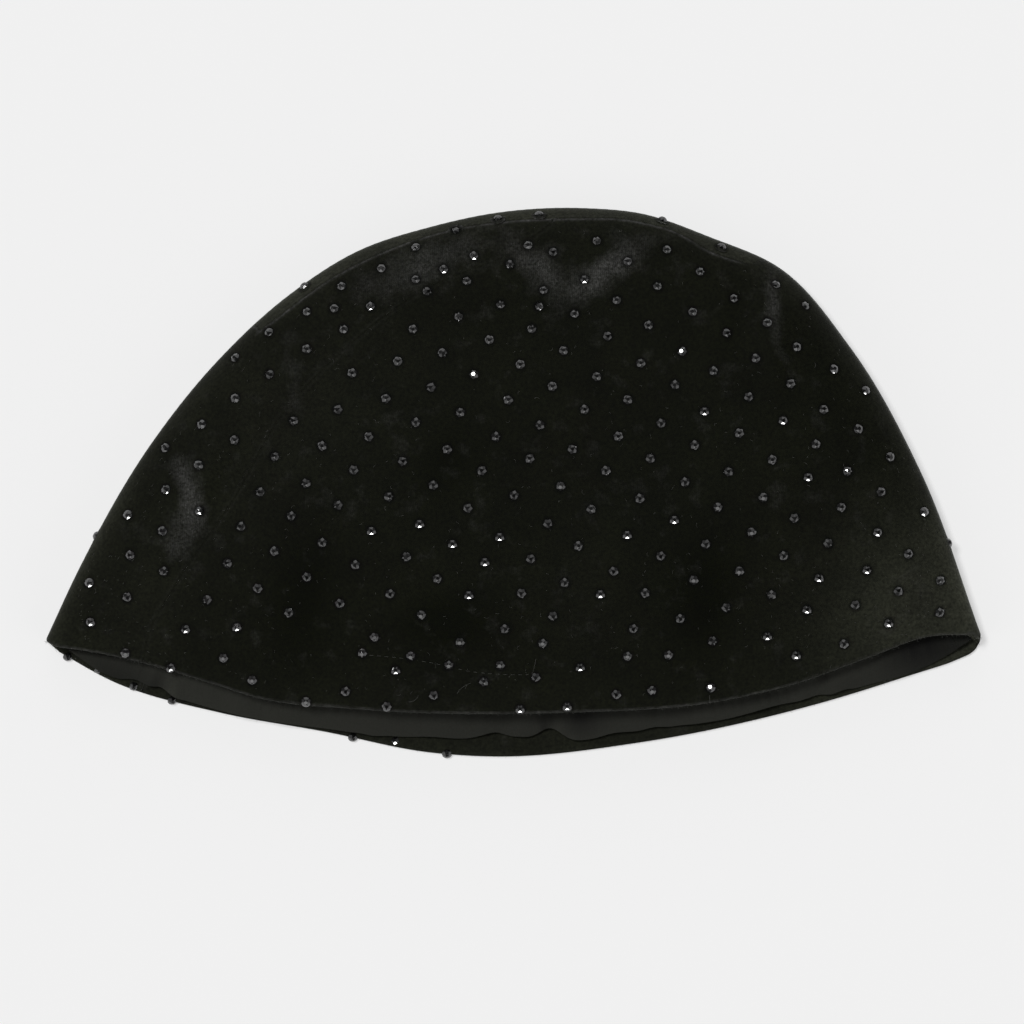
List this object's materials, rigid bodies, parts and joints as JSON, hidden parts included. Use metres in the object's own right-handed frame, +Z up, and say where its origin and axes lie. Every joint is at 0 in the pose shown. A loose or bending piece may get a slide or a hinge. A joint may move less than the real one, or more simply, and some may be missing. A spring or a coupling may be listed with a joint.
{
  "type": "beanie",
  "caption": "Soft hollow skull-cap beanie of sewn velvet panels set with faceted flat-back stones, with a thin knitted lining, lying flat on its back.",
  "frame": {"origin": "middle of the footprint, on the surface that the cap lies on", "axes": "+X to the right along the mouth, the longest way; +Y from the mouth to the crown; +Z up from the back panel to the front panel, the shortest way"},
  "size_m": [0.28, 0.1641, 0.0264],
  "materials": {
    "velvet": "black short-pile velvet with a soft sheen, set with small jet-black faceted stones",
    "knit": "matt dark grey fine knit"
  },
  "bodies": {
    "root": {"front_panel": "velvet", "side_panel": "velvet", "back_panel": "velvet", "lining": "knit"}
  },
  "joints": []
}
